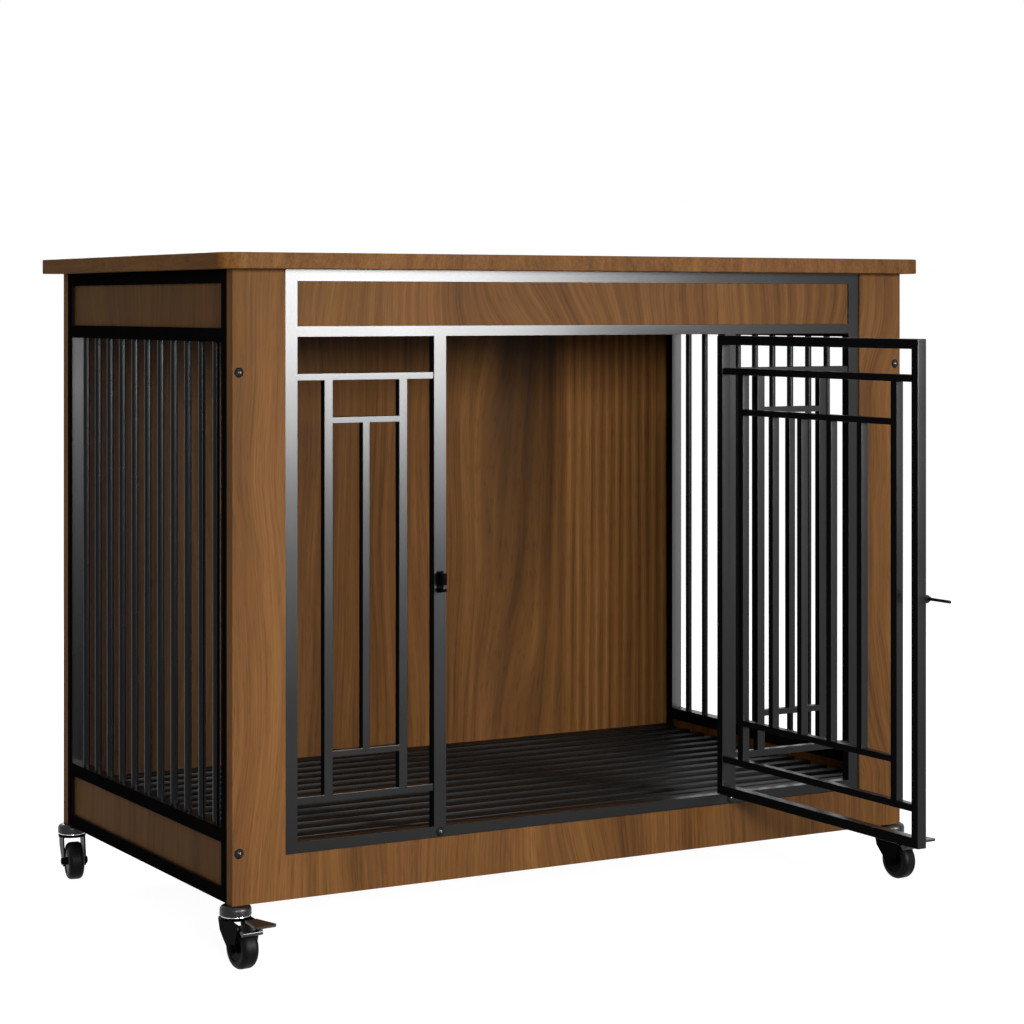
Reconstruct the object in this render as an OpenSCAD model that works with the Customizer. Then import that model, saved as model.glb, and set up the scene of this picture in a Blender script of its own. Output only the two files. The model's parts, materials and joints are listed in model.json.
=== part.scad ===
// Furniture-style dog crate on four swivel casters: a wooden top, a wooden front and back,
// steel side frames with round rods, steel grilles either side of a side-hung steel door,
// and a slatted steel floor.
// X runs along the width, Y from the front to the back and Z up.  Millimetres.

/* [Cabinet] */
// Width over the side frames
body_w = 1068; // [980:1:1200]
// Depth over the front and back panels
body_d = 618; // [560:1:700]
// Height from the panels' lower edge to the underside of the top board
body_h = 810; // [740:1:900]
// Thickness of the front and back panels
board_t = 18; // [16:0.5:22]

/* [Top board] */
// Thickness of the top board
top_t = 21; // [16:0.5:28]
// Overhang of the top board past each side
top_side_over = 24; // [18:1:45]
// Overhang of the top board past the front panel
top_front_over = 29.5; // [10:0.5:45]
// Overhang of the top board past the back panel
top_back_over = 25.5; // [0:0.5:45]
// Radius of the two front corners in plan
top_corner_r = 33; // [10:1:50]

/* [Front panel] */
// Width of each wooden post
post_w = 74; // [60:1:85]
// Height of the wooden sill under the steel frame
sill_h = 57.5; // [45:0.5:70]

/* [Front frame] */
// Set-back of the steel frame from the face of the front panel
frame_recess = 2.5; // [1:0.5:3]
// Front-to-back size of the frame tube
frame_depth = 14; // [12:0.5:15]
// Width of each upright
stile_w = 18; // [14:0.5:22]
// Height of the top rail
top_rail_h = 15; // [10:0.5:20]
// Height of the wooden apron under the top rail
apron_h = 58.5; // [40:0.5:75]
// Thickness of the apron
apron_t = 9; // [6:0.5:11]
// Height of the rail over the door
door_rail_h = 13.5; // [10:0.5:18]
// Height of the rail under the door
bottom_rail_h = 14.5; // [13:0.5:18]
// Width of each fixed grille
bay_w = 199.5; // [175:0.5:220]

/* [Grille pattern] */
// Clear height of the two bands at the top and at the bottom
band_gap = 47.5; // [35:0.5:60]
// Height of the second rails
rail2_h = 9.5; // [6:0.5:14]
// Height of the third rails
rail3_h = 8.5; // [6:0.5:12]
// Width of the two inner uprights
upright_w = 12.5; // [8:0.5:16]
// Width of the uprights between them
spindle_w = 10.5; // [6:0.5:14]
// Front-to-back size of the grille bars
bar_depth = 11; // [8:0.5:12]
// Clear width beside the inner uprights
side_gap = 39; // [25:0.5:50]
// Number of uprights between the third rails of the door
door_spindles = 4; // [3:1:6]

/* [Door] */
// Gap between the door and the upright on the hinge side
hinge_gap = 6; // [5.5:0.5:7]
// Gap between the door and the upright on the latch side
latch_gap = 2.5; // [2:0.5:4]
// Gap above and below the door
door_end_gap = 2; // [1.5:0.5:3]
// Width of the tube round the door
door_tube = 13; // [11:0.5:16]
// Clear width between the hinge side of the door and its first inner upright
door_hinge_bay = 35; // [25:0.5:45]
// Clear width between the latch side of the door and its last inner upright
door_latch_bay = 31; // [25:0.5:45]
// Radius of the hinge pins
hinge_pin_r = 1.4; // [1.2:0.05:1.6]
// Length of each hinge
hinge_l = 50; // [30:1:70]
// Distance of each hinge from the end of the door
hinge_in = 45; // [20:1:80]

/* [Latch] */
// Height of the latch bolt over the panels' lower edge
latch_z = 390.5; // [320:0.5:480]
// Radius of the latch bolt
bolt_r = 2; // [1.5:0.1:2.2]
// Length of the latch bolt past the edge of the door
bolt_out = 40; // [30:0.5:45]
// Distance of the bolt's centre from the face of the door
bolt_off = 5; // [4:0.1:6]
// Diameter of the bolt's knob
knob_d = 13; // [9:0.5:14]

/* [Side frames] */
// Size of the square tube of the side frames
tube = 18; // [16:0.5:20]
// Height of the wooden infill at the bottom and at the top
infill_h = 57.5; // [45:0.5:70]
// Thickness of the wooden infill
infill_t = 10; // [6:0.5:12]
// Diameter of the rods
rod_d = 10; // [7:0.5:12]
// Number of rods in each side
rod_count = 11; // [9:1:11]
// Spacing of the rods
rod_pitch = 47.4; // [42:0.1:50]

/* [Floor] */
// Height of the slats' top over the panels' lower edge
floor_z = 66; // [56:0.5:70]
// Width of each slat
slat_w = 18; // [14:0.5:22]
// Number of slats
slat_count = 13; // [10:1:13]
// Thickness of each slat
slat_t = 8; // [5:0.5:9]
// Width of the beam in front of the slats
front_beam_w = 38.5; // [28:0.5:45]
// Size of the beams under the slats
floor_tube = 16; // [12:0.5:18]
// Thickness of the ledges that carry the floor
ledge_t = 3; // [2:0.5:4]
// Width of the ledges
ledge_w = 26; // [24:0.5:32]

/* [Casters] */
// Diameter of the wheels
wheel_d = 54; // [48:1:60]
// Width of the wheels
wheel_w = 23; // [19:1:26]
// Distance of the axle from the swivel axis
trail = 18; // [15:1:21]
// Gap between the wheels and the top plate of the fork
crown_gap = 6; // [4:0.5:9]
// Height of the cap over the ball race
cap_h = 12.5; // [10:0.5:16]
// Radius of the cap over the ball race
cap_r = 20.5; // [17:0.5:22]
// Height of the ball race
race_h = 3; // [2:0.1:5]
// Thickness of the fork's sheet
fork_t = 2; // [1.5:0.25:3]
// Radius of the axle
axle_r = 3; // [2.5:0.25:4]
// Radius of the pin that the fork turns on
kingpin_r = 4; // [3.5:0.25:4.5]
// Radius of the threaded stem
stem_r = 4; // [3:0.25:4]
// Length of the stem inside the panel
stem_l = 26; // [18:1:40]
// Width of the brake pedal at its free end
pedal_w = 31; // [26:1:35]
// Length of the brake pedal from its pivot
pedal_l = 45.5; // [38:0.5:52]

/* [Fasteners] */
// Radius of the domed bolt heads
head_r = 6.5; // [5:0.25:8]
// Radius of the bolts' shanks
shank_r = 3; // [2:0.25:3.5]
// Height of the lower panel bolts over the panels' lower edge
bolt_low_z = 66; // [56:1:72]
// Height of the upper panel bolts over the panels' lower edge
bolt_high_z = 678; // [600:1:700]

/* [Hidden] */
$fn = 48;
run = 0.05;            // radial clearance of a shaft in its hole
sep = 0.3;             // gap between pieces that move past each other

WOOD = "#7d5230";
BLACK = "#1c1d1f";
CHROME = "#c9ccd0";
RUBBER = "#141414";

// Cabinet
half_w = body_w / 2;
back_y = body_d - board_t;                      // inner face of the back panel
frame_x = half_w - post_w;                      // outer edge of the front frame
bay_x = frame_x - stile_w;                      // outer edge of each fixed grille
door_stile_x = bay_x - bay_w;                   // outer edge of the upright beside the door
opening_x = door_stile_x - stile_w;             // half the width of the doorway
opening_low = sill_h + bottom_rail_h;
opening_high = body_h - top_rail_h - apron_h - door_rail_h;
apron_low = opening_high + door_rail_h;

// Levels of the grille rails, shared by the fixed grilles and the door
low2 = opening_low + band_gap;
low3 = low2 + rail2_h + band_gap;
high2 = opening_high - band_gap - rail2_h;
high3 = high2 - band_gap - rail3_h;

// Door, drawn closed and then turned about its hinge to where it stands open
door_open = 90.8;
door_r = opening_x - hinge_gap;                 // edge on the hinge side
door_l = opening_x - latch_gap;                 // edge on the latch side
door_low = opening_low + door_end_gap;
door_high = opening_high - door_end_gap;
barrel_r = hinge_gap / 2 - sep;
leaf_t = 1.6;
hinge_x = opening_x - hinge_gap / 2;
hinge_y = frame_recess + 2.2;
hinge_low = door_low + hinge_in;
hinge_high = door_high - hinge_in - hinge_l;

// Latch
latch_y = frame_recess - bolt_off;
lug_t = 3;
lug_eye_r = bolt_r + 1.3;
knob_t = 5;
bolt_end = door_l - door_tube - 8;              // inner end of the bolt
keeper_slot = 2 * bolt_r + 2 * sep;
keeper_x = opening_x + 6;                       // edge of the keeper nearest the door
keeper_w = 6.5;
keeper_out = 14;
keeper_base_t = 1;
keeper_up = 16;
keeper_down = 4.2;

// Side frames
side_len = back_y - board_t;
win_len = side_len - 2 * tube;
rail_low = tube + infill_h;
rail_high = body_h - 2 * tube - infill_h;

// Floor
slat_x = half_w - tube - 4;
slat_base = floor_z - slat_t;
floor_front = board_t + 0.5;
floor_back = back_y - 1;
slat_first = floor_front + front_beam_w + 8;
slat_pitch = (floor_back - floor_tube - slat_w - 2 - slat_first) / (slat_count - 1);
ledge_z = slat_base - floor_tube - ledge_t;

// Casters, drawn about the swivel axis with the floor at z = 0
crown_t = 2.4;
crown_r = cap_r - 0.5;
race_r = cap_r - 1.5;
crown_z = wheel_d + crown_gap;
race_z = crown_z + crown_t + sep;
cap_z = race_z + race_h;
caster_h = cap_z + cap_h;
leg_x = wheel_w / 2 + 3;                        // inner face of each fork leg
leg_out = leg_x + fork_t;
eye_r = axle_r + 5;
pedal_pin_r = 1.5;
pivot_a = 32;                                   // of the pedal's pivot, from upright
pivot_y = -trail - (wheel_d / 2 + 7) * sin(pivot_a);
pivot_z = wheel_d / 2 + (wheel_d / 2 + 7) * cos(pivot_a);
shoe_a = 48;                                    // of the brake shoe, from upright
shoe_r = 3.6;
pedal_t = 3;
pedal_z = crown_z + crown_t + 1;                // underside of the pedal's plate
caster_x = half_w - tube / 2;
caster_front = board_t * 0.6;
caster_back = body_d - board_t * 0.6;
insert_r = stem_r + 1.8;
turn_fl = 5;
turn_fr = 5;
turn_bl = -10;
turn_br = 0;
bolt_x = half_w - tube / 2;

// The origin is under the middle of the whole object's box, with the door open
latch_tip = hinge_y - (hinge_x + door_l + bolt_out) * sin(door_open)
            + (latch_y + bolt_r - hinge_y) * cos(door_open);
y_mid = (body_d + top_back_over + latch_tip) / 2;

// ---------------------------------------------------------------- helpers

// Everything on the cabinet is drawn from the panels' lower edge and the front face.
module cabinet() { translate([0, -y_mid, caster_h]) children(); }

// A box from one corner to the opposite one
module block(a, b) { translate(a) cube(b - a); }

// The pieces of the door, turned to where the door stands open
module on_door() {
    cabinet()
        translate([hinge_x, hinge_y, 0]) rotate([0, 0, door_open])
            translate([-hinge_x, -hinge_y, 0]) children();
}

// Something drawn once for the right and once, mirrored, for the left
module both_sides() {
    children();
    mirror([1, 0, 0]) children();
}

// Two round ends joined by a tapered plate, a little narrower than the ends
module link2d(a, ra, b, rb) {
    d = (b - a) / norm(b - a);
    n = [-d[1], d[0]];
    wa = ra * 0.95;
    wb = rb * 0.95;
    translate(a) circle(r = ra);
    translate(b) circle(r = rb);
    polygon([a + wa * n, b + wb * n, b - wb * n, a - wa * n]);
}

// A drawing in Y and Z, given a thickness from x0 to x1
module across(x0, x1) {
    translate([x0, 0, 0]) rotate([90, 0, 90]) linear_extrude(height = x1 - x0) children();
}

// A round bar along X
module bar_x(x0, x1, y, z, r) {
    translate([x0, y, z]) rotate([0, 90, 0]) cylinder(h = x1 - x0, r = r);
}

// A round bar along Y
module bar_y(y0, y1, x, z, r) {
    translate([x, y0, z]) rotate([-90, 0, 0]) cylinder(h = y1 - y0, r = r);
}

// A domed head with its flat side at y = 0, rising towards -Y
module dome_head(r, h) {
    ball = (r * r + h * h) / (2 * h);
    rotate([90, 0, 0]) intersection() {
        cylinder(h = h, r = r);
        translate([0, 0, h - ball]) sphere(r = ball);
    }
}

// ---------------------------------------------------------------- wood

module top_outline() {
    x = half_w + top_side_over;
    y0 = -top_front_over;
    y1 = body_d + top_back_over;
    r = top_corner_r;
    translate([-x, y0 + r]) square([2 * x, y1 - y0 - r]);
    translate([-x + r, y0]) square([2 * x - 2 * r, r + 1]);
    for (s = [-1, 1]) translate([s * (x - r), y0 + r]) circle(r = r);
}

module top_board() {
    color(WOOD) cabinet() translate([0, 0, body_h])
        linear_extrude(height = top_t) top_outline();
}

// Clearance holes for the panel bolts, from y0 to y1
module bolt_holes(y0, y1, r) {
    for (s = [-1, 1], z = [bolt_low_z, bolt_high_z]) bar_y(y0, y1, s * bolt_x, z, r);
}

// Holes for the casters' inserts in the lower edge of a panel
module insert_holes(y) {
    for (s = [-1, 1]) translate([s * caster_x, y, -1])
        cylinder(h = stem_l + 4, r = insert_r + run);
}

module front_panel() {
    color(WOOD) cabinet() difference() {
        block([-half_w, 0, 0], [half_w, board_t, body_h]);
        block([-frame_x, -1, sill_h], [frame_x, board_t + 1, body_h + 1]);
        bolt_holes(-1, board_t + 1, shank_r + run);
        insert_holes(caster_front);
    }
}

module back_panel() {
    color(WOOD) cabinet() difference() {
        block([-half_w, back_y, 0], [half_w, body_d, body_h]);
        bolt_holes(back_y - 1, body_d + 1, shank_r + run);
        insert_holes(caster_back);
    }
}

module front_apron() {
    mid = frame_recess + frame_depth / 2;
    color(WOOD) cabinet()
        block([-bay_x, mid - apron_t / 2, apron_low],
              [bay_x, mid + apron_t / 2, body_h - top_rail_h]);
}

// ---------------------------------------------------------------- steel front

module front_frame() {
    y0 = frame_recess;
    y1 = frame_recess + frame_depth;
    color(BLACK) cabinet() difference() {
        union() {
            both_sides() {
                block([bay_x, y0, sill_h], [frame_x, y1, body_h]);
                block([opening_x, y0, sill_h], [door_stile_x, y1, opening_high + door_rail_h]);
            }
            block([-frame_x, y0, sill_h], [frame_x, y1, opening_low]);
            block([-frame_x, y0, opening_high], [frame_x, y1, apron_low]);
            block([-frame_x, y0, body_h - top_rail_h], [frame_x, y1, body_h]);
        }
        for (s = [-1, 1])
            bar_y(y0 - 1, y0 + 9, s * (opening_x + stile_w / 2), sill_h + bottom_rail_h / 2,
                  shank_r - 0.5 + run);
    }
}

// The pattern of bars inside one opening, from x0 to x1; gap0 and gap1 are the clear widths
// beside the two inner uprights
module mission_bars(x0, x1, gap0, gap1, spindles) {
    y0 = frame_recess + (frame_depth - bar_depth) / 2;
    y1 = y0 + bar_depth;
    u0 = x0 + gap0;                             // outer edges of the two inner uprights
    u1 = x1 - gap1;
    for (z = [low2, high2]) block([x0, y0, z], [x1, y1, z + rail2_h]);
    for (z = [low3, high3]) block([u0, y0, z], [u1, y1, z + rail3_h]);
    for (x = [u0, u1 - upright_w]) block([x, y0, low2], [x + upright_w, y1, high2 + rail2_h]);
    step = (u1 - u0 - 2 * upright_w) / (spindles + 1);
    for (k = [1 : spindles]) {
        x = u0 + upright_w + k * step - spindle_w / 2;
        block([x, y0, low3], [x + spindle_w, y1, high3 + rail3_h]);
    }
}

module right_grille_bars() {
    mission_bars(door_stile_x, bay_x, side_gap, side_gap, 1);
}

module left_grille() { color(BLACK) cabinet() mirror([1, 0, 0]) right_grille_bars(); }
module right_grille() { color(BLACK) cabinet() right_grille_bars(); }

// A knuckle of a hinge from z0 to z1, with its leaf reaching to x on one side
module knuckle(z0, z1, x) {
    translate([0, 0, z0]) linear_extrude(height = z1 - z0) difference() {
        union() {
            translate([hinge_x, hinge_y]) circle(r = barrel_r);
            translate([min(x, hinge_x), hinge_y - leaf_t / 2])
                square([abs(x - hinge_x), leaf_t]);
        }
        translate([hinge_x, hinge_y]) circle(r = hinge_pin_r + run);
    }
}

// The lower knuckle of each hinge is welded to the frame and the upper one to the door.
module hinge_barrels() {
    color(BLACK) cabinet() for (z = [hinge_low, hinge_high])
        knuckle(z, z + hinge_l / 2 - sep, opening_x);
}

module hinge_pins() {
    color(CHROME) cabinet() for (z = [hinge_low, hinge_high])
        translate([hinge_x, hinge_y, z]) cylinder(h = hinge_l, r = hinge_pin_r);
}

module latch_keeper() {
    z0 = latch_z - keeper_slot / 2;
    z1 = latch_z + keeper_slot / 2;
    face = frame_recess - keeper_base_t;
    color(BLACK) cabinet() mirror([1, 0, 0]) {
        block([keeper_x - 2, face, z0 - keeper_down - 2],
              [keeper_x + keeper_w + 2, frame_recess, z1 + keeper_up + 2]);
        block([keeper_x, frame_recess - keeper_out, z0 - keeper_down],
              [keeper_x + keeper_w, face, z0]);
        block([keeper_x, frame_recess - keeper_out, z1],
              [keeper_x + keeper_w, face, z1 + keeper_up]);
    }
}

module grille_bolts() {
    color(BLACK) cabinet() for (s = [-1, 1])
        translate([s * (opening_x + stile_w / 2), frame_recess, sill_h + bottom_rail_h / 2]) {
            dome_head(head_r - 0.5, 4);
            bar_y(0, 8.5, 0, 0, shank_r - 0.5);
        }
}

module panel_bolts() {
    reach = board_t + tube * 0.8;
    color(BLACK) cabinet() for (s = [-1, 1], z = [bolt_low_z, bolt_high_z]) {
        translate([s * bolt_x, 0, z]) {
            dome_head(head_r, 4);
            bar_y(0, reach, 0, 0, shank_r);
        }
        translate([s * bolt_x, body_d, z]) rotate([0, 0, 180]) {
            dome_head(head_r, 4);
            bar_y(0, reach, 0, 0, shank_r);
        }
    }
}

// ---------------------------------------------------------------- side frames

module side_frame() {
    x0 = half_w - tube;
    difference() {
        union() {
            for (y = [board_t, back_y - tube]) block([x0, y, 0], [half_w, y + tube, body_h]);
            for (z = [0, rail_low, rail_high, body_h - tube])
                block([x0, board_t, z], [half_w, back_y, z + tube]);
        }
        for (z = [bolt_low_z, bolt_high_z]) {
            bar_y(board_t - 1, board_t + tube * 0.85, bolt_x, z, shank_r + run);
            bar_y(back_y - tube * 0.85, back_y + 1, bolt_x, z, shank_r + run);
        }
    }
}

module side_rods() {
    x = half_w - tube / 2;
    y_mid_side = board_t + side_len / 2;
    for (k = [0 : rod_count - 1])
        translate([x, y_mid_side + (k - (rod_count - 1) / 2) * rod_pitch, rail_low + tube])
            cylinder(h = rail_high - rail_low - tube, r = rod_d / 2);
}

module side_infill(z) {
    x = half_w - tube / 2;
    block([x - infill_t / 2, board_t + tube, z],
          [x + infill_t / 2, back_y - tube, z + infill_h]);
}

module left_side_frame() { color(BLACK) cabinet() mirror([1, 0, 0]) side_frame(); }
module right_side_frame() { color(BLACK) cabinet() side_frame(); }
module left_rods() { color(BLACK) cabinet() mirror([1, 0, 0]) side_rods(); }
module right_rods() { color(BLACK) cabinet() side_rods(); }
module left_upper_infill() {
    color(WOOD) cabinet() mirror([1, 0, 0]) side_infill(rail_high + tube);
}
module left_lower_infill() { color(WOOD) cabinet() mirror([1, 0, 0]) side_infill(tube); }
module right_upper_infill() { color(WOOD) cabinet() side_infill(rail_high + tube); }
module right_lower_infill() { color(WOOD) cabinet() side_infill(tube); }

// ---------------------------------------------------------------- floor

module floor_ledges() {
    x = half_w - tube;
    color(BLACK) cabinet() both_sides() {
        block([x - ledge_t, board_t + tube, 2], [x, back_y - tube, ledge_z + ledge_t]);
        block([x - ledge_w, board_t + tube, ledge_z], [x, back_y - tube, ledge_z + ledge_t]);
    }
}

module floor_frame() {
    low = slat_base - floor_tube;
    color(BLACK) cabinet() {
        both_sides()
            block([slat_x - floor_tube, floor_front, low], [slat_x, floor_back, slat_base]);
        block([-floor_tube / 2, floor_front, low], [floor_tube / 2, floor_back, slat_base]);
        block([-slat_x, floor_front, floor_z - floor_tube],
              [slat_x, floor_front + front_beam_w, floor_z]);
        block([-slat_x, floor_back - floor_tube + 1, floor_z - floor_tube],
              [slat_x, floor_back, floor_z]);
    }
}

module floor_slats() {
    color(BLACK) cabinet() for (k = [0 : slat_count - 1])
        translate([0, slat_first + k * slat_pitch, 0])
            block([-slat_x, 0, slat_base], [slat_x, slat_w, floor_z]);
}

// ---------------------------------------------------------------- door

module door_frame() {
    y0 = frame_recess;
    y1 = frame_recess + frame_depth;
    color(BLACK) on_door() difference() {
        block([-door_l, y0, door_low], [door_r, y1, door_high]);
        block([-door_l + door_tube, y0 - 1, door_low + door_tube],
              [door_r - door_tube, y1 + 1, door_high - door_tube]);
    }
}

module door_grille() {
    color(BLACK) on_door() mission_bars(-door_l + door_tube, door_r - door_tube,
                                        door_latch_bay, door_hinge_bay, door_spindles);
}

module hinge_knuckles() {
    color(BLACK) on_door() for (z = [hinge_low, hinge_high])
        knuckle(z + hinge_l / 2, z + hinge_l, door_r);
}

// One lug of the latch, standing out of the door's face
module lug() {
    difference() {
        link2d([latch_y, latch_z], lug_eye_r, [frame_recess - 1, latch_z], lug_eye_r + 2);
        translate([frame_recess, latch_z - 10]) square([20, 20]);
        translate([latch_y, latch_z]) circle(r = bolt_r + run);
    }
}

module latch_guide() {
    color(BLACK) on_door() {
        across(-door_l, -door_l + lug_t) lug();
        across(-door_l + door_tube - lug_t, -door_l + door_tube) lug();
    }
}

module latch_bolt() {
    color(BLACK) on_door() {
        bar_x(-door_l - bolt_out, -bolt_end + bolt_r, latch_y, latch_z, bolt_r);
        translate([-bolt_end, latch_y + bolt_r + 0.6, latch_z]) rotate([90, 0, 0])
            cylinder(h = 2 * bolt_r + 0.6 + knob_t, r1 = knob_d / 2, r2 = knob_d / 3);
    }
}

// ---------------------------------------------------------------- casters

// A caster on its swivel axis, with its wheel turned by an angle
module caster(x, y, turn) { translate([x, y - y_mid, 0]) rotate([0, 0, turn]) children(); }
module at_fl() { caster(-caster_x, caster_front, turn_fl) children(); }
module at_fr() { caster(caster_x, caster_front, turn_fr) children(); }
module at_bl() { caster(-caster_x, caster_back, turn_bl) children(); }
module at_br() { caster(caster_x, caster_back, turn_br) children(); }

module stem_form() {
    translate([0, 0, cap_z]) rotate_extrude() {
        square([cap_r - cap_h / 2, cap_h]);
        square([cap_r, cap_h / 2]);
        translate([cap_r - cap_h / 2, cap_h / 2]) intersection() {
            circle(r = cap_h / 2);
            square(cap_h);
        }
    }
    translate([0, 0, caster_h]) cylinder(h = stem_l, r = stem_r);
    translate([0, 0, crown_z - 0.2]) cylinder(h = cap_z - crown_z + 1, r = kingpin_r);
    translate([0, 0, crown_z - 2.2]) cylinder(h = 2, r = kingpin_r + 1.5);
}

module race_form() {
    translate([0, 0, race_z]) rotate_extrude() {
        translate([kingpin_r + run, 0]) square([race_r - kingpin_r - run - race_h / 2, race_h]);
        translate([race_r - race_h / 2, race_h / 2]) circle(r = race_h / 2);
    }
}

// The side of a fork leg; on a braked caster it reaches forward to the pedal's pivot.
module leg_outline(brake) {
    axle = [-trail, wheel_d / 2];
    top = crown_z + crown_t;
    back = crown_r - 4;
    front = brake ? [pivot_y, pivot_z + 3.6] : [-crown_r + 3, top - 1];
    translate(axle) circle(r = eye_r);
    if (brake) translate([pivot_y, pivot_z]) circle(r = 4);
    polygon([[axle[0] - eye_r * 0.95, axle[1]], [axle[0] + eye_r * 0.7, axle[1] - eye_r * 0.6],
             [back - 14.5, wheel_d * 0.64], [back - 4, wheel_d * 0.85],
             [back, crown_z - 1], [back - 1, top], [-crown_r + 4, top], front]);
}

module fork_form(brake) {
    difference() {
        union() {
            translate([0, 0, crown_z]) cylinder(h = crown_t, r = crown_r);
            block([-leg_out, -crown_r + 4, crown_z], [leg_out, crown_r - 6, crown_z + crown_t]);
            for (x = [-leg_out, leg_x]) across(x, x + fork_t) leg_outline(brake);
        }
        translate([0, 0, crown_z - 1]) cylinder(h = crown_t + 2, r = kingpin_r + run);
        bar_x(-leg_out - 1, leg_out + 1, -trail, wheel_d / 2, axle_r + run);
        if (brake) bar_x(-leg_out - 1, leg_out + 1, pivot_y, pivot_z, pedal_pin_r + run);
    }
}

module axle_form() {
    bar_x(-leg_out - 3, leg_out + 3, -trail, wheel_d / 2, axle_r);
    bar_x(-leg_out - 2.5, -leg_out, -trail, wheel_d / 2, axle_r + 2);
    translate([leg_out, -trail, wheel_d / 2]) rotate([0, 90, 0])
        cylinder(h = 2.5, r = axle_r + 2.2, $fn = 6);
}

module hub_form() {
    r = wheel_d * 0.32;
    translate([0, -trail, wheel_d / 2]) rotate([0, 90, 0]) difference() {
        union() {
            translate([0, 0, -wheel_w / 2 + 1]) cylinder(h = wheel_w - 2, r = r);
            translate([0, 0, -leg_x + sep]) cylinder(h = 2 * (leg_x - sep), r = axle_r + 2.5);
        }
        translate([0, 0, -leg_x - 1]) cylinder(h = 2 * leg_x + 2, r = axle_r + run);
    }
}

module tyre_form() {
    r0 = wheel_d * 0.32 + run;
    r1 = wheel_d / 2;
    round_r = wheel_w * 0.3;
    translate([0, -trail, wheel_d / 2]) rotate([0, 90, 0]) rotate_extrude() intersection() {
        translate([r0, -wheel_w / 2]) square([r1 - r0, wheel_w]);
        union() {
            translate([0, -wheel_w / 2]) square([r1 - round_r, wheel_w]);
            translate([0, -wheel_w / 2 + round_r]) square([r1, wheel_w - 2 * round_r]);
            for (s = [-1, 1]) translate([r1 - round_r, s * (wheel_w / 2 - round_r)])
                circle(r = round_r);
        }
    }
}

// The pedal's plate from above: narrow at the pivot and wide at its free end
module pedal_outline() {
    r = 5.5;
    x0 = pedal_w * 0.27;
    x1 = pedal_w / 2;
    tip = pivot_y - pedal_l;
    for (s = [-1, 1]) translate([s * (x1 - r), tip + r]) circle(r = r);
    polygon([[-x0, pivot_y - 4], [-x1 * 0.99, tip + r], [-x1 + r, tip + 0.1],
             [x1 - r, tip + 0.1], [x1 * 0.99, tip + r], [x0, pivot_y - 4]]);
}

module pedal_form() {
    inner = leg_x - sep;
    eye = [pivot_y, pivot_z];
    knee = [pivot_y - 5.5, pedal_z + pedal_t / 2];
    shoe = [-trail - (wheel_d / 2 + shoe_r + 3) * sin(shoe_a),
            wheel_d / 2 + (wheel_d / 2 + shoe_r + 3) * cos(shoe_a)];
    across(-inner, inner) link2d(eye, pedal_pin_r + 1.6, shoe, shoe_r);
    across(-pedal_w * 0.25, pedal_w * 0.25) link2d(eye, pedal_pin_r + 1.6, knee, pedal_t * 0.45);
    translate([0, 0, pedal_z]) linear_extrude(height = pedal_t) pedal_outline();
    for (x = [-7, 5]) across(x, x + 2)
        polygon([[pivot_y - 5, pedal_z + 1], [pivot_y - pedal_l + 9, pedal_z + 1],
                 [pivot_y - 15, pivot_z - 3], [shoe[0], shoe[1]]]);
    bar_x(-leg_out, leg_out, pivot_y, pivot_z, pedal_pin_r);
}

module stem_inserts() {
    color(CHROME) cabinet() for (s = [-1, 1], y = [caster_front, caster_back])
        translate([s * caster_x, y, 0]) difference() {
            cylinder(h = stem_l + 2, r = insert_r);
            translate([0, 0, -1]) cylinder(h = stem_l + 4, r = stem_r + run);
        }
}

// The four casters; the two at the front have a brake.
module caster_fl_stem() { color(BLACK) at_fl() stem_form(); }
module caster_fl_race() { color(CHROME) at_fl() race_form(); }
module caster_fl_fork() { color(BLACK) at_fl() fork_form(true); }
module caster_fl_axle() { color(CHROME) at_fl() axle_form(); }
module caster_fl_hub() { color(RUBBER) at_fl() hub_form(); }
module caster_fl_tyre() { color(RUBBER) at_fl() tyre_form(); }
module caster_fl_pedal() { color(BLACK) at_fl() pedal_form(); }
module caster_fr_stem() { color(BLACK) at_fr() stem_form(); }
module caster_fr_race() { color(CHROME) at_fr() race_form(); }
module caster_fr_fork() { color(BLACK) at_fr() fork_form(true); }
module caster_fr_axle() { color(CHROME) at_fr() axle_form(); }
module caster_fr_hub() { color(RUBBER) at_fr() hub_form(); }
module caster_fr_tyre() { color(RUBBER) at_fr() tyre_form(); }
module caster_fr_pedal() { color(BLACK) at_fr() pedal_form(); }
module caster_bl_stem() { color(BLACK) at_bl() stem_form(); }
module caster_bl_race() { color(CHROME) at_bl() race_form(); }
module caster_bl_fork() { color(BLACK) at_bl() fork_form(false); }
module caster_bl_axle() { color(CHROME) at_bl() axle_form(); }
module caster_bl_hub() { color(RUBBER) at_bl() hub_form(); }
module caster_bl_tyre() { color(RUBBER) at_bl() tyre_form(); }
module caster_br_stem() { color(BLACK) at_br() stem_form(); }
module caster_br_race() { color(CHROME) at_br() race_form(); }
module caster_br_fork() { color(BLACK) at_br() fork_form(false); }
module caster_br_axle() { color(CHROME) at_br() axle_form(); }
module caster_br_hub() { color(RUBBER) at_br() hub_form(); }
module caster_br_tyre() { color(RUBBER) at_br() tyre_form(); }

// ---------------------------------------------------------------- nodes

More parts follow.
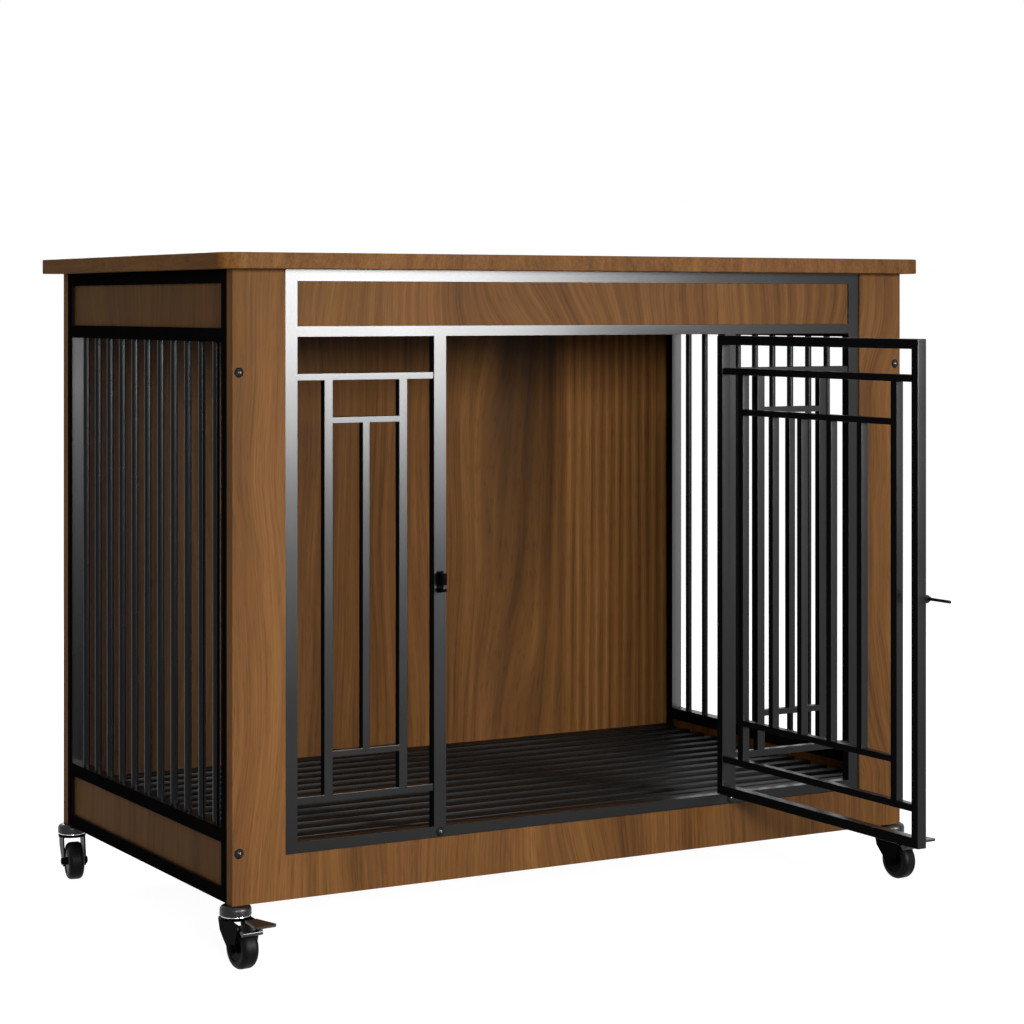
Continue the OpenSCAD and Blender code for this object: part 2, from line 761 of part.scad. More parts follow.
top_board();
front_panel();
back_panel();
front_frame();
front_apron();
left_grille();
right_grille();
hinge_barrels();
hinge_pins();
latch_keeper();
grille_bolts();
panel_bolts();
left_side_frame();
left_rods();
left_upper_infill();
left_lower_infill();
right_side_frame();
right_rods();
right_upper_infill();
right_lower_infill();
floor_ledges();
floor_frame();
floor_slats();
stem_inserts();
door_frame();
door_grille();
hinge_knuckles();
latch_guide();
latch_bolt();
caster_fl_stem();
caster_fl_race();
caster_fl_fork();
caster_fl_axle();
caster_fl_hub();
caster_fl_tyre();
caster_fl_pedal();
caster_fr_stem();
caster_fr_race();
caster_fr_fork();
caster_fr_axle();
caster_fr_hub();
caster_fr_tyre();
caster_fr_pedal();
caster_bl_stem();
caster_bl_race();
caster_bl_fork();
caster_bl_axle();
caster_bl_hub();
caster_bl_tyre();
caster_br_stem();
caster_br_race();
caster_br_fork();
caster_br_axle();
caster_br_hub();
caster_br_tyre();
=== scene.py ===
# %% [markdown]
# # Furniture-style dog crate
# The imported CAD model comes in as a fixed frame.  This script gives it the finishes of the
# real thing, softens the edges that a saw or a welder would never leave sharp, and sets up
# the light and the camera.

# %% Load the frame
import json
import math

import bmesh
import bpy
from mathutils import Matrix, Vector


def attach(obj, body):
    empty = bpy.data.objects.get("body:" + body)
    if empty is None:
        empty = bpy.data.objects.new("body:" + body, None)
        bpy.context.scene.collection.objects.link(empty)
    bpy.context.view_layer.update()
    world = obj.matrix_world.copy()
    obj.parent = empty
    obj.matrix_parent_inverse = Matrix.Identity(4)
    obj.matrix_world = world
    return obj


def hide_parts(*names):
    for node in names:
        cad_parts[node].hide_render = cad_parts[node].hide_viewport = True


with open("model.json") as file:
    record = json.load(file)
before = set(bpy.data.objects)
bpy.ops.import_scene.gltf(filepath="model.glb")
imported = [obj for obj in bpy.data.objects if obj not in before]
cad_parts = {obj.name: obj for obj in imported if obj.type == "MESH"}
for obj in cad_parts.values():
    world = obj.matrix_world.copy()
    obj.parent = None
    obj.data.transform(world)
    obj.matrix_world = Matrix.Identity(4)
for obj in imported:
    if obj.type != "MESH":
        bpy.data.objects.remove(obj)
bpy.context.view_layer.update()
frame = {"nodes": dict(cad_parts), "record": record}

MM = 0.001
X, Y, Z = 0, 1, 2               # the axes: width, depth and height
nodes = frame["nodes"]
record = frame["record"]
node_body = {n: b for b, names in record["behaviour"]["bodies"].items() for n in names}
node_slot = {s["node"]: s["material_slot"] for s in record["subparts"]}

# %% [markdown]
# ## Camera
# The camera looks at the crate from its front left and is held level, which keeps every
# upright parallel, as furniture is usually shown.  Most of the crate is below the eye, so
# the view is shifted down instead of being tilted.

# %% Make the camera
CAMERA_PLACE = (-1.8599, -3.1118, 0.8408)       # metres from the middle of the base
CAMERA_YAW = math.radians(-29.80)               # looks to the right of straight ahead
CAMERA_LENS, CAMERA_SENSOR = 91.03, 36          # mm
CAMERA_SHIFT = -0.2011                          # as a share of the sensor
CAMERA_REACH = 50                               # metres


def make_camera():
    """A level camera that the scene renders through."""
    data = bpy.data.cameras.new("camera")
    data.lens = CAMERA_LENS
    data.sensor_width = CAMERA_SENSOR
    data.shift_y = CAMERA_SHIFT
    data.clip_end = CAMERA_REACH
    piece = bpy.data.objects.new("camera", data)
    piece.location = CAMERA_PLACE
    piece.rotation_euler = (math.radians(90), 0, CAMERA_YAW)
    bpy.context.collection.objects.link(piece)
    bpy.context.scene.camera = piece
    print("camera at", CAMERA_PLACE)


make_camera()

# %% [markdown]
# ## Helpers for materials
# Colours are written as the sRGB hex values that a paint chart would give, and turned to
# the linear values that the shader works in.  `add` puts one node in a material, with its
# settings and its links, so that each finish below reads from top to bottom.  The inputs of
# a Mix node share their names, so they go by number: 0 is the share, 2 and 3 are the two
# numbers, 6 and 7 the two colours, and output 2 is the mixed colour.

# %% Colour and node helpers
def linear(hex_colour):
    """An sRGB hex colour as linear RGBA."""
    parts = [int(hex_colour[i:i + 2], 16) / 255 for i in (1, 3, 5)]
    return [c / 12.92 if c <= 0.04045 else ((c + 0.055) / 1.055) ** 2.4 for c in parts] + [1.0]


def grey(value):
    """A linear grey."""
    return (value, value, value, 1.0)


def add(tree, kind, settings=None, inputs=None):
    """A node of that kind with its settings; an input is a value or another node's socket."""
    node = tree.nodes.new(kind)
    for name, value in (settings or {}).items():
        setattr(node, name, value)
    for name, value in (inputs or {}).items():
        socket = node.inputs[name]
        if isinstance(value, bpy.types.NodeSocket):
            tree.links.new(value, socket)
        else:
            socket.default_value = value
    return node


def new_material(name):
    """An empty material with its output and a Principled shader."""
    material = bpy.data.materials.new(name)
    material.use_nodes = True
    tree = material.node_tree
    tree.nodes.clear()
    shader = add(tree, "ShaderNodeBsdfPrincipled")
    add(tree, "ShaderNodeOutputMaterial", inputs={"Surface": shader.outputs["BSDF"]})
    return material, tree, shader


# %% [markdown]
# ## Walnut laminate
# The boards are faced with printed walnut laminate under a dull clear coat.  The eye gets
# five things from it: growth rings, which show as upright stripes; broad streaks of lighter
# and darker wood; fine bands and fibres; short dark pores; and, in the back panel, a wide
# dark band of heartwood.  A drawing of one board would only fit that board.  Layers of
# noise, each stretched along the grain, fit every board and need no more than a new seed.

# %% Describe the layers of the grain
# The scale is how often a layer turns in a metre across, along and through the board.  Low
# and high are the part of the noise that is spread from 0 to 1.  Streaks come out 15 to
# 60 mm wide, bands 2 to 8 mm, fibres 2 mm and pores 1 mm.
LAYERS = {
    "wander": dict(scale=(3.4, 0.8, 3.4), shift=0.0, detail=2.0, rough=0.45, low=0.0, high=1.0),
    "broad": dict(scale=(6.0, 0.7, 5.0), shift=23.0, detail=1.0, rough=0.5, low=0.3, high=0.7),
    "heart": dict(scale=(5.0, 1.4, 5.0), shift=31.0, detail=1.0, rough=0.5, low=0.3, high=0.7),
    "lean": dict(scale=(11.0, 1.6, 6.0), shift=17.0, detail=2.0, rough=0.55, low=0.4, high=0.6),
    "streaks": dict(scale=(22.0, 0.9, 12.0), shift=3.0, detail=3.0, rough=0.6, low=0.25, high=0.75),
    "bands": dict(scale=(190.0, 2.2, 60.0), shift=5.0, detail=3.0, rough=0.6, low=0.25, high=0.75),
    "fibres": dict(scale=(380.0, 8.0, 160.0), shift=7.0, detail=2.0, rough=0.55, low=0.25, high=0.75),
    "pores": dict(scale=(850.0, 40.0, 300.0), shift=11.0, detail=1.0, rough=0.4, low=0.57, high=0.72),
}
SEED_ALONG, SEED_THROUGH = 1.7, 0.3             # a seed moves a layer on every axis


def grain_layer(tree, name, vector, seed):
    """One layer of the grain as a number from 0 to 1; the seed gives each board its own."""
    layer = LAYERS[name]
    moved = add(tree, "ShaderNodeMapping", inputs={
        "Vector": vector, "Scale": layer["scale"],
        "Location": (layer["shift"] + seed, seed * SEED_ALONG, seed * SEED_THROUGH)})
    noise = add(tree, "ShaderNodeTexNoise", inputs={
        "Vector": moved.outputs["Vector"], "Scale": 1.0, "Detail": layer["detail"],
        "Roughness": layer["rough"]}).outputs["Fac"]
    return add(tree, "ShaderNodeMapRange", inputs={
        "Value": noise, "From Min": layer["low"], "From Max": layer["high"]}).outputs[0]


# %% [markdown]
# ### Rings
# The rings are counted across the board and pushed about by a slow wander, so that they
# lean and close in arches by themselves.  In real wood the stripes are clearest where they
# run straight.  So one mask says how much of the rings is seen, and also holds the wander
# back.  It is a patchy noise, or runs from one place across the board to another.

# %% Make the rings
STRIPE_BEND = 0.06              # how much of the wander is left where the mask is 1
FAINT_RINGS = 0.2               # how much of the rings is seen where the mask is 0
PATCH_SCALE = 3.0               # how often in a metre the mask turns
PATCH_START, PATCH_END = 0.35, 0.65
DARKEST_RING = 0.15


def ring_mask(tree, place, across, stripes):
    """How much of the rings is seen, from 0 to 1."""
    if stripes:
        return add(tree, "ShaderNodeMapRange", {"interpolation_type": "SMOOTHSTEP"}, {
            "Value": across, "From Min": stripes[0], "From Max": stripes[1]}).outputs[0]
    patches = add(tree, "ShaderNodeTexNoise", inputs={
        "Vector": place, "Scale": PATCH_SCALE, "Detail": 1.0}).outputs["Fac"]
    return add(tree, "ShaderNodeMapRange", inputs={
        "Value": patches, "From Min": PATCH_START, "From Max": PATCH_END}).outputs[0]


def wander_across(tree, straight, across, mask, seed, bend_mm):
    """The place across the board, pushed about by the wander."""
    reach = add(tree, "ShaderNodeMapRange", inputs={
        "Value": mask, "To Min": bend_mm * MM, "To Max": bend_mm * MM * STRIPE_BEND}).outputs[0]
    return add(tree, "ShaderNodeMath", {"operation": "MULTIPLY_ADD"}, {
        0: grain_layer(tree, "wander", straight, seed), 1: reach, 2: across}).outputs[0]


def ring_tone(tree, bent, ring_mm):
    """The rings as a tone that rises and falls once in every ring."""
    count = add(tree, "ShaderNodeMath", {"operation": "DIVIDE"}, {0: bent, 1: ring_mm * MM})
    wave = add(tree, "ShaderNodeMath", {"operation": "PINGPONG"}, {0: count.outputs[0], 1: 0.5})
    return add(tree, "ShaderNodeMapRange", inputs={
        "Value": wave.outputs[0], "From Max": 0.5, "To Min": DARKEST_RING}).outputs[0]


# %% [markdown]
# ### Colour of the wood
# All layers are mixed to one tone first, and only then coloured, because real grain is one
# brown that gets darker and lighter.  Two slow changes come on top: a lean to olive, and the
# heartwood.

# %% Colour the wood
WOOD_DARK, WOOD_MIDDLE, WOOD_LIGHT = "#4a2e18", "#7a5029", "#97693a"
WOOD_LEAN, HEARTWOOD = "#d8e0b0", "#8c8878"     # what the wood's colour is multiplied by
BROAD_SHARE, BAND_SHARE, FIBRE_SHARE = 0.2, 0.32, 0.24
DARK_TONE, MIDDLE_TONE, LIGHT_TONE = 0.15, 0.5, 0.85
LEAN_STRENGTH, PORE_STRENGTH = 0.3, 0.25
HEART_WANDER = 0.035            # metres by which the heartwood's edges wander and fade
HEART_FOOT, HEART_HEAD = 0.15, 0.9              # how dark it is at its foot and its head


def wood_tone(tree, turned, rings, mask, fibres, seed, figure):
    """All of the grain as one tone, from 0, dark, to 1, light."""
    figured = add(tree, "ShaderNodeMapRange", inputs={
        "Value": mask, "To Min": figure * FAINT_RINGS, "To Max": figure}).outputs[0]
    tone = grain_layer(tree, "streaks", turned, seed)
    broad = grain_layer(tree, "broad", turned, seed)
    bands = grain_layer(tree, "bands", turned, seed)
    shares = ((figured, rings), (BROAD_SHARE, broad), (BAND_SHARE, bands), (FIBRE_SHARE, fibres))
    for share, layer in shares:
        tone = add(tree, "ShaderNodeMix", {"data_type": "FLOAT"}, {
            0: share, 2: tone, 3: layer}).outputs[0]
    return tone


def wood_colour(tree, tone, turned, pores, seed):
    """The tone as brown, with its lean to olive and its pores."""
    low = add(tree, "ShaderNodeMapRange", inputs={
        "Value": tone, "From Min": DARK_TONE, "From Max": MIDDLE_TONE}).outputs[0]
    high = add(tree, "ShaderNodeMapRange", inputs={
        "Value": tone, "From Min": MIDDLE_TONE, "From Max": LIGHT_TONE}).outputs[0]
    lean = add(tree, "ShaderNodeMapRange", inputs={
        "Value": grain_layer(tree, "lean", turned, seed), "To Max": LEAN_STRENGTH}).outputs[0]
    pitted = add(tree, "ShaderNodeMath", {"operation": "MULTIPLY"}, {
        0: pores, 1: PORE_STRENGTH}).outputs[0]
    colour = linear(WOOD_DARK)
    for blend, share, hex_colour in (("MIX", low, WOOD_MIDDLE), ("MIX", high, WOOD_LIGHT),
                                     ("MULTIPLY", lean, WOOD_LEAN),
                                     ("MULTIPLY", pitted, WOOD_DARK)):
        colour = add(tree, "ShaderNodeMix", {"data_type": "RGBA", "blend_type": blend}, {
            0: share, 6: colour, 7: linear(hex_colour)}).outputs[2]
    return colour


def heartwood(tree, straight, across, along, seed, start, end, foot, head):
    """How dark the heartwood is: a band from start to end across, darkest at its head."""
    edge = add(tree, "ShaderNodeMath", {"operation": "MULTIPLY_ADD"}, {
        0: grain_layer(tree, "heart", straight, seed), 1: -HEART_WANDER, 2: across}).outputs[0]
    past_start = add(tree, "ShaderNodeMapRange", {"interpolation_type": "SMOOTHSTEP"}, {
        "Value": edge, "From Min": start - HEART_WANDER, "From Max": start}).outputs[0]
    before_end = add(tree, "ShaderNodeMapRange", {"interpolation_type": "SMOOTHSTEP"}, {
        "Value": edge, "From Min": end - HEART_WANDER, "From Max": end,
        "To Min": 1.0, "To Max": 0.0}).outputs[0]
    upright = add(tree, "ShaderNodeMapRange", inputs={
        "Value": along, "From Min": foot, "From Max": head,
        "To Min": HEART_FOOT, "To Max": HEART_HEAD}).outputs[0]
    lower = add(tree, "ShaderNodeMath", {"operation": "MULTIPLY"}, {0: before_end, 1: upright})
    return add(tree, "ShaderNodeMath", {"operation": "MULTIPLY"}, {
        0: past_start, 1: lower.outputs[0]}).outputs[0]


# %% [markdown]
# ### The boards
# Each board is cut from its own place in the wood, so each has its own seed, rings and
# figure, which is how strongly the rings show.  The back panel has straight stripes at the
# right and its heartwood left of them.  The sides are painted a little cooler and darker:
# that is painted shade, since the main light reaches them only at a slant.  The laminate
# is dull, and the pores are pressed into it by at most a tenth of a millimetre.

# %% Make the walnut
WOOD_SPECULAR = 0.04
WOOD_ROUGH_LOW, WOOD_ROUGH_HIGH = 0.52, 0.66
PORE_DEPTH, PORE_BUMP = 0.1 * MM, 0.15


def walnut(name, grain, face, seed, ring_mm, figure, bend_mm, stripes=None, heart=None,
           shade="#ffffff"):
    """Walnut with its grain along one axis, on faces square to the axis `face`.

    Places are in metres: `stripes` is where across the board the mask of the rings is 0 and
    where it is 1, and `heart` is where the heartwood lies.
    """
    material, tree, shader = new_material(name)
    place = add(tree, "ShaderNodeTexCoord").outputs["Object"]
    split = add(tree, "ShaderNodeSeparateXYZ", inputs={"Vector": place}).outputs
    across, along, through = split[X + Y + Z - grain - face], split[grain], split[face]
    straight = add(tree, "ShaderNodeCombineXYZ", inputs={
        "X": across, "Y": along, "Z": through}).outputs["Vector"]
    mask = ring_mask(tree, place, across, stripes)
    bent = wander_across(tree, straight, across, mask, seed, bend_mm)
    turned = add(tree, "ShaderNodeCombineXYZ", inputs={
        "X": bent, "Y": along, "Z": through}).outputs["Vector"]
    fibres = grain_layer(tree, "fibres", turned, seed)
    pores = grain_layer(tree, "pores", turned, seed)
    tone = wood_tone(tree, turned, ring_tone(tree, bent, ring_mm), mask, fibres, seed, figure)
    colour = wood_colour(tree, tone, turned, pores, seed)
    if heart:
        colour = add(tree, "ShaderNodeMix", {"data_type": "RGBA", "blend_type": "MULTIPLY"}, {
            0: heartwood(tree, straight, across, along, seed, **heart),
            6: colour, 7: linear(HEARTWOOD)}).outputs[2]
    # Painted shade: the whole colour is multiplied by a tint, darker on boards that get little light.
    colour = add(tree, "ShaderNodeMix", {"data_type": "RGBA", "blend_type": "MULTIPLY"}, {
        0: 1.0, 6: colour, 7: linear(shade)}).outputs[2]
    rough = add(tree, "ShaderNodeMapRange", inputs={
        "Value": fibres, "To Min": WOOD_ROUGH_LOW, "To Max": WOOD_ROUGH_HIGH}).outputs[0]
    bump = add(tree, "ShaderNodeBump", inputs={
        "Height": pores, "Strength": PORE_BUMP, "Distance": -PORE_DEPTH}).outputs["Normal"]
    shader.inputs["Specular IOR Level"].default_value = WOOD_SPECULAR
    tree.links.new(colour, shader.inputs["Base Color"])
    tree.links.new(rough, shader.inputs["Roughness"])
    tree.links.new(bump, shader.inputs["Normal"])
    print("walnut", name)
    return material


wood_top = walnut("walnut_laminate_top", grain=Y, face=Z, seed=0.0, ring_mm=26.0,
                  figure=0.35, bend_mm=120.0)
wood_front = walnut("walnut_laminate_front", grain=Z, face=Y, seed=4.0, ring_mm=20.0,
                    figure=0.2, bend_mm=70.0)
wood_back = walnut("walnut_laminate_back", grain=Z, face=Y, seed=9.0, ring_mm=18.0,
                   figure=1.0, bend_mm=230.0, stripes=(0.1, 0.34),
                   heart=dict(start=0.19, end=0.305, foot=0.3, head=0.75))
wood_apron = walnut("walnut_laminate_apron", grain=Z, face=Y, seed=15.0, ring_mm=24.0,
                    figure=0.45, bend_mm=150.0)
# The side boards get painted shade: a cooler, darker tint for light that reaches them at a slant.
wood_sides = walnut("walnut_laminate_sides_painted_shade", grain=Z, face=X, seed=21.0, ring_mm=22.0,
                    figure=0.3, bend_mm=90.0, shade="#d8dcd2")

# %% [markdown]
# ## Black steel and casters
# The frames, bars, door and floor are mild steel with a black powder coat.  Powder flows out
# into a skin with a faint orange peel, which breaks up the edge of a reflection.  The front
# and the door have a satin coat, and the floor a flatter one.  The faces of the frames that
# look sideways take a flat coat with no gloss at all: that is painted shade, because they
# are seen from a low angle, where a satin coat would mirror the white studio and turn grey.
# The faces of the right side frame that look forwards take the glossiest coat, a painted
# reflection, because the front of the rear post at the right does look grey.  The casters
# are near black, with enamelled stems, forks and pedals, nylon hubs and a soft tread, and
# their ball races are bright zinc.  One function makes them all, since they differ only in
# colour, gloss and peel.

# %% Make the black steel and the caster finishes
PEEL_DEPTH = 0.2 * MM
RUB_SCALE = 9.0                 # how often in a metre the coat is rubbed duller
RUB_START, RUB_END = 0.3, 0.7
RUB = 0.05                      # by what share its roughness changes there


def coated(name, colour, rough, peel_mm, peel, specular=0.5, metallic=0.0):
    """A coat or moulding; its orange peel has a size in mm and a strength."""
    material, tree, shader = new_material(name)
    place = add(tree, "ShaderNodeTexCoord").outputs["Object"]
    skin = add(tree, "ShaderNodeTexNoise", inputs={
        "Vector": place, "Scale": 1.0 / (peel_mm * MM), "Detail": 2.0}).outputs["Fac"]
    rub = add(tree, "ShaderNodeTexNoise", inputs={
        "Vector": place, "Scale": RUB_SCALE, "Detail": 3.0}).outputs["Fac"]
    rubbed = add(tree, "ShaderNodeMapRange", inputs={
        "Value": rub, "From Min": RUB_START, "From Max": RUB_END,
        "To Min": rough * (1 - RUB), "To Max": rough * (1 + RUB)}).outputs[0]
    bump = add(tree, "ShaderNodeBump", inputs={
        "Height": skin, "Strength": peel, "Distance": PEEL_DEPTH}).outputs["Normal"]
    shader.inputs["Base Color"].default_value = linear(colour)
    shader.inputs["Metallic"].default_value = metallic
    shader.inputs["Specular IOR Level"].default_value = specular
    tree.links.new(rubbed, shader.inputs["Roughness"])
    tree.links.new(bump, shader.inputs["Normal"])
    print("coat", name)
    return material


# powder coat on mild steel
satin_steel = coated("satin_powder_coat", "#0a0a0b", rough=0.24, peel_mm=1.6, peel=0.03, specular=0.2)
# painted shade: a flat coat with no gloss for the frame faces that look sideways
painted_shade_steel = coated("flat_coat_painted_shade", "#121213", rough=0.5, peel_mm=1.2, peel=0.1, specular=0.0)
rod_steel = coated("rod_powder_coat", "#08080a", rough=0.27, peel_mm=1.4, peel=0.04, specular=0.1)
# painted reflection: a glossy coat for the forward faces of the right side frame
painted_reflection_steel = coated("glossy_coat_painted_reflection", "#161617", rough=0.25, peel_mm=1.6, peel=0.03, specular=1.0)
floor_steel = coated("floor_powder_coat", "#0c0b0a", rough=0.42, peel_mm=1.6, peel=0.05, specular=0.08)
# enamel on pressed steel
gloss_black = coated("gloss_black_enamel", "#040405", rough=0.36, peel_mm=5.0, peel=0.02, specular=0.28)
fork_black = coated("fork_black_enamel", "#040405", rough=0.25, peel_mm=5.0, peel=0.02, specular=0.008)
pedal_black = coated("pedal_enamel", "#1a1713", rough=0.3, peel_mm=4.0, peel=0.03, specular=0.35)
# nylon and polyurethane, straight from the mould
caster_plastic = coated("moulded_nylon", "#050506", rough=0.3, peel_mm=4.0, peel=0.03, specular=0.02)
tyre_rubber = coated("polyurethane_tread", "#070708", rough=0.45, peel_mm=3.0, peel=0.05, specular=0.06)
# steel with a thin plating of bright zinc
bright_steel = coated("zinc_plated_steel", "#c4c7ca", rough=0.18, peel_mm=0.8, peel=0.06, metallic=1.0)

# %% [markdown]
# ## Which piece takes which finish
# A slot only says what kind of stuff a piece is, and steel alone comes in several coats.  So
# a node's own name is looked up first, then the end of its name, and then its slot.  Some
# faces of the frames look sideways or forwards and have a coat of their own: painted shade
# on the sideways faces, and a painted reflection on the forward faces of the right side
# frame.

# %% Choose the finishes
NODE_FINISH = {"top_board": wood_top, "back_panel": wood_back, "front_apron": wood_apron,
               "floor_slats": floor_steel, "floor_frame": floor_steel,
               "floor_ledges": floor_steel, "latch_keeper": fork_black}
ENDING_FINISH = {"infill": wood_sides, "side_frame": rod_steel, "rods": rod_steel,
                 "_stem": gloss_black, "_fork": fork_black, "_axle": fork_black,
                 "_pedal": pedal_black}
SLOT_FINISH = {"black_steel": satin_steel, "bright_steel": bright_steel,
               "caster_plastic": caster_plastic, "tyre": tyre_rubber, "wood": wood_front}


def finish_of(node):
    """The material that a node's piece takes."""
    if node in NODE_FINISH:
        return NODE_FINISH[node]
    for ending, finish in ENDING_FINISH.items():
        if node.endswith(ending):
            return finish
    return SLOT_FINISH[node_slot[node]]


# Painted shade on sideways faces, and a painted reflection on the right frame's forward faces
PAINTED_LIGHT_COATS = {node: [(X, painted_shade_steel)] for node in (
    "front_frame", "left_grille", "right_grille", "left_side_frame", "right_side_frame",
    "door_frame", "door_grille")}
PAINTED_LIGHT_COATS["right_side_frame"].append((Y, painted_reflection_steel))
FACING = 0.7                    # how nearly a face has to look along the axis, as a cosine
print("finishes by name:", len(NODE_FINISH), "by ending:", len(ENDING_FINISH))

# %% [markdown]
# ## Softened edges
# A real board is sanded and a real tube is rolled, so neither has a knife edge, and the
# line of light along an edge is much of what makes it look made.  The solids could have
# such edges themselves, but that would make them heavy for the sake of looks alone.  So a
# copy of each solid is merged, its flat faces are joined up, and its sharp edges are
# bevelled.  The shading at each corner then leans to the widest face beside it, so that a
# flat bar still looks flat and only its narrow bevel turns in the light.

# %% Soften the CAD solids
SHARP = math.radians(40)
FLAT = math.radians(1)
SAME_POINT = 0.01 * MM
EDGE_STEPS, EDGE_ROUNDNESS = 2, 0.5
EDGE_MM = {"top_board": 1.5, "front_panel": 1.0, "back_panel": 1.0, "front_apron": 0.4,
           "front_frame": 0.8, "left_grille": 0.7, "right_grille": 0.7, "door_frame": 0.8,
           "door_grille": 0.7, "left_side_frame": 1.0, "right_side_frame": 1.0,
           "floor_slats": 1.5, "floor_frame": 1.0, "latch_keeper": 0.4}


def bevelled(source, width_mm):
    """A copy of a solid's mesh with its sharp edges bevelled."""
    shape = bmesh.new()
    shape.from_mesh(source.data)
    bmesh.ops.remove_doubles(shape, verts=shape.verts[:], dist=SAME_POINT)
    bmesh.ops.dissolve_limit(shape, angle_limit=FLAT, use_dissolve_boundaries=False,
                             verts=shape.verts[:], edges=shape.edges[:])
    edges = [e for e in shape.edges if e.is_manifold and e.calc_face_angle(0) > SHARP]
    bmesh.ops.bevel(shape, geom=edges, offset=width_mm * MM, offset_type="OFFSET",
                    segments=EDGE_STEPS, profile=EDGE_ROUNDNESS, affect="EDGES",
                    clamp_overlap=True, material=-1)
    bmesh.ops.recalc_face_normals(shape, faces=shape.faces[:])
    return shape


def corner_normals(shape):
    """For each corner, the normals of the faces beside it, weighted by their area."""
    return [sum((f.normal * f.calc_area() for f in vert.link_faces), Vector()).normalized()
            for vert in shape.verts]


def put_finishes(mesh, node):
    """Give a mesh its finish, and faces along an axis their coat of painted shade or reflection."""
    mesh.materials.append(finish_of(node))
    coats = PAINTED_LIGHT_COATS.get(node, [])
    for axis, coat in coats:
        mesh.materials.append(coat)
    for polygon in mesh.polygons:
        slots = [k + 1 for k, (axis, coat) in enumerate(coats)
                 if abs(polygon.normal[axis]) > FACING]
        polygon.material_index = slots[0] if slots else 0


def softened(node, width_mm):
    """A bevelled copy of a CAD node that stands for it."""
    shape = bevelled(nodes[node], width_mm)
    leaning = corner_normals(shape)
    mesh = bpy.data.meshes.new(node + "_soft")
    shape.to_mesh(mesh)
    shape.free()
    put_finishes(mesh, node)
    for polygon in mesh.polygons:
        polygon.use_smooth = True
    mesh.normals_split_custom_set_from_vertices(leaning)
    piece = bpy.data.objects.new(node + "_soft", mesh)
    bpy.context.collection.objects.link(piece)
    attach(piece, node_body[node])
    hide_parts(node)
    print("softened", piece.name, len(mesh.polygons), "faces")


for node, width_mm in EDGE_MM.items():
    softened(node, width_mm)

# %% [markdown]
# ### Pieces that keep their solid
# Rods, bolts, hinges and casters are round, or too small for a softened edge to be seen,
# and the edges of the infill boards are hidden in their frames.  These pieces keep the
# solid that they have and only take a finish.

# %% Dress the nodes that stay
for node, obj in nodes.items():
    if node in EDGE_MM:
        continue
    if not obj.material_slots:
        obj.data.materials.append(finish_of(node))
    for slot in obj.material_slots:
        slot.material = finish_of(node)
print("dressed", len(nodes) - len(EDGE_MM), "nodes")

# %% [markdown]
# ## Floor and world
# Furniture is often shown on a roll of white paper in a flood of light.  That much light
# would fill the inside of the crate too.  So the floor and the surround are white where
# the camera, or a mirror, looks at them, and much dimmer for the light that they throw
# back, and the crate keeps its dark inside and underside.

# %% Make the floor and the world
FLOOR_REACH = 40.0              # metres each way
FLOOR_COLOUR = 0.2              # what the floor throws back
FLOOR_GLOW = 0.96               # what it shows on top of that
WORLD_LIGHT = 0.1               # what the surround gives, against the white that it shows


def seen_directly(tree):
    """1 for a ray from the camera, a mirror or glass, and 0 for scattered light."""
    path = add(tree, "ShaderNodeLightPath").outputs
    mirror = add(tree, "ShaderNodeMath", {"operation": "MAXIMUM"}, {
        0: path["Is Glossy Ray"], 1: path["Is Transmission Ray"]})
    return add(tree, "ShaderNodeMath", {"operation": "MAXIMUM"}, {
        0: path["Is Camera Ray"], 1: mirror.outputs[0]}).outputs[0]


def studio_paper():
    """Paper that is white to the camera and to mirrors, and throws little light back."""
    material, tree, shader = new_material("studio_paper")
    glow = add(tree, "ShaderNodeMapRange", inputs={
        "Value": seen_directly(tree), "To Max": FLOOR_GLOW})
    shader.inputs["Base Color"].default_value = grey(FLOOR_COLOUR)
    shader.inputs["Roughness"].default_value = 1.0
    shader.inputs["Specular IOR Level"].default_value = 0.0
    shader.inputs["Emission Color"].default_value = grey(1.0)
    tree.links.new(glow.outputs[0], shader.inputs["Emission Strength"])
    return material


def make_floor():
    """A wide floor under the casters."""
    mesh = bpy.data.meshes.new("studio_floor")
    shape = bmesh.new()
    bmesh.ops.create_grid(shape, x_segments=1, y_segments=1, size=FLOOR_REACH)
    shape.to_mesh(mesh)
    shape.free()
    mesh.materials.append(studio_paper())
    piece = bpy.data.objects.new("studio_floor", mesh)
    bpy.context.collection.objects.link(piece)
    print("floor", FLOOR_REACH, "m each way")


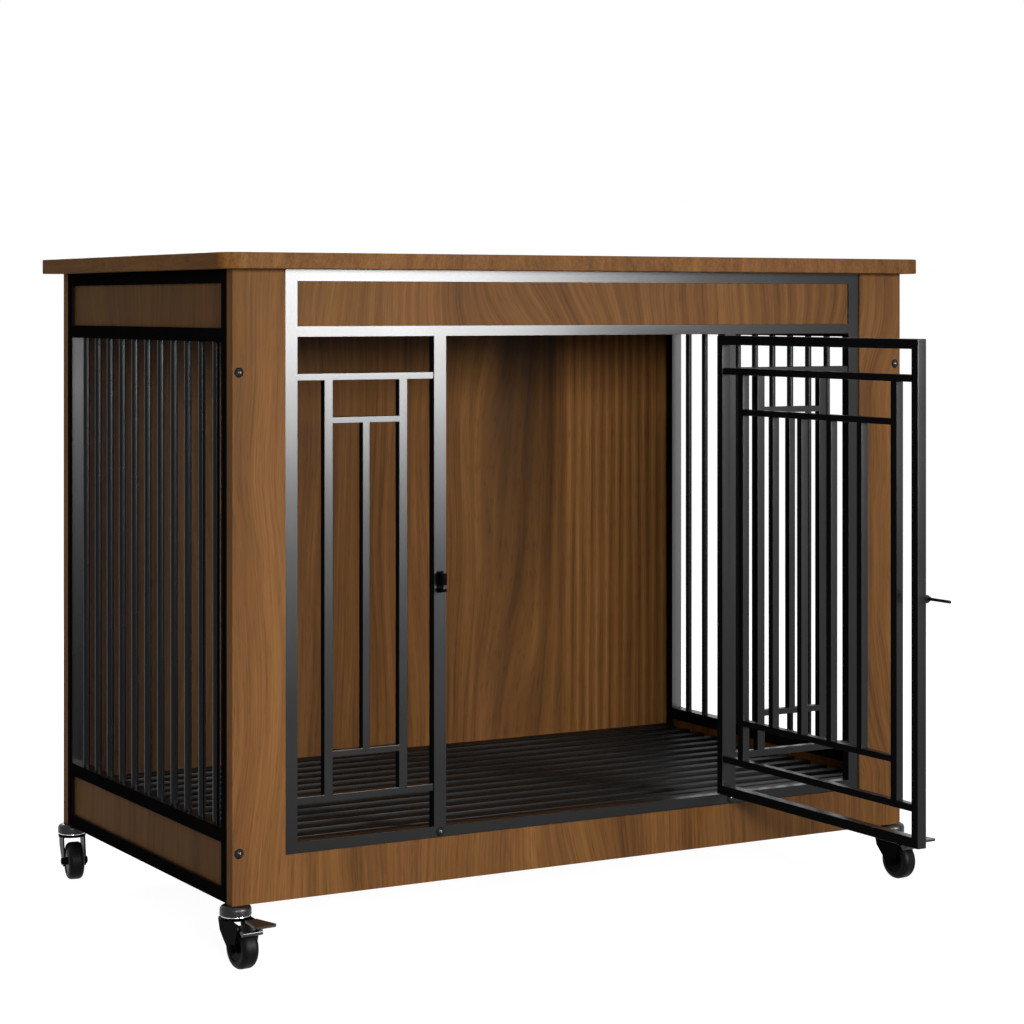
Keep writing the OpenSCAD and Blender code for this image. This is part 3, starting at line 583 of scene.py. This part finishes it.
def make_world():
    """A surround that shows white and gives little light."""
    world = bpy.data.worlds.new("studio")
    bpy.context.scene.world = world
    world.use_nodes = True
    tree = world.node_tree
    tree.nodes.clear()
    strength = add(tree, "ShaderNodeMapRange", inputs={
        "Value": seen_directly(tree), "To Min": WORLD_LIGHT, "To Max": 1.0})
    background = add(tree, "ShaderNodeBackground", inputs={
        "Color": grey(1.0), "Strength": strength.outputs[0]})
    add(tree, "ShaderNodeOutputWorld", inputs={"Surface": background.outputs[0]})
    print("world gives", WORLD_LIGHT)


make_floor()
make_world()

# %% [markdown]
# ## Lamps
# The main softbox stands at the front left and not much higher than the crate, so that it
# also shines in through the doorway and reaches the back panel.  A soft sun from above fills
# the top and the floor.  The second softbox shows only in mirrors: the satin front frame
# reflects it at its upper left and falls off to dark from there, which gives the steel its
# sheen.  The third one stands behind and lights the outside of the back panel.

# %% Make the lamps
MIDDLE = (0, 0, 0.5)            # metres; what the softboxes look at
SUN_SPREAD = math.radians(40)


def lamp(name, kind, place, target, power):
    """A lamp that looks at a target."""
    data = bpy.data.lights.new(name, kind)
    data.energy = power
    piece = bpy.data.objects.new(name, data)
    piece.location = place
    aim = Vector(target) - Vector(place)
    piece.rotation_euler = aim.to_track_quat("-Z", "Y").to_euler()
    bpy.context.collection.objects.link(piece)
    print("lamp", name, power)
    return piece


def softbox(name, place, power, width, height):
    """A rectangular lamp that looks at the middle of the crate."""
    piece = lamp(name, "AREA", place, MIDDLE, power)
    piece.data.shape = "RECTANGLE"
    piece.data.size, piece.data.size_y = width, height
    return piece


softbox("key_softbox", place=(-1.45, -4.2, 1.27), power=165, width=1.3, height=0.7)
sun = lamp("overhead_fill", "SUN", place=(0.1, -1.2, 2.8), target=(0, 0, 0), power=0.5)
sun.data.angle = SUN_SPREAD
sheen = softbox("sheen_softbox", place=(1.09, -3.1, 1.06), power=285, width=1.1, height=0.95)
sheen.visible_diffuse = False
softbox("back_softbox", place=(0.9, 3.2, 2.0), power=110, width=1.6, height=1.0)
bpy.context.scene.view_settings.view_transform = "Standard"
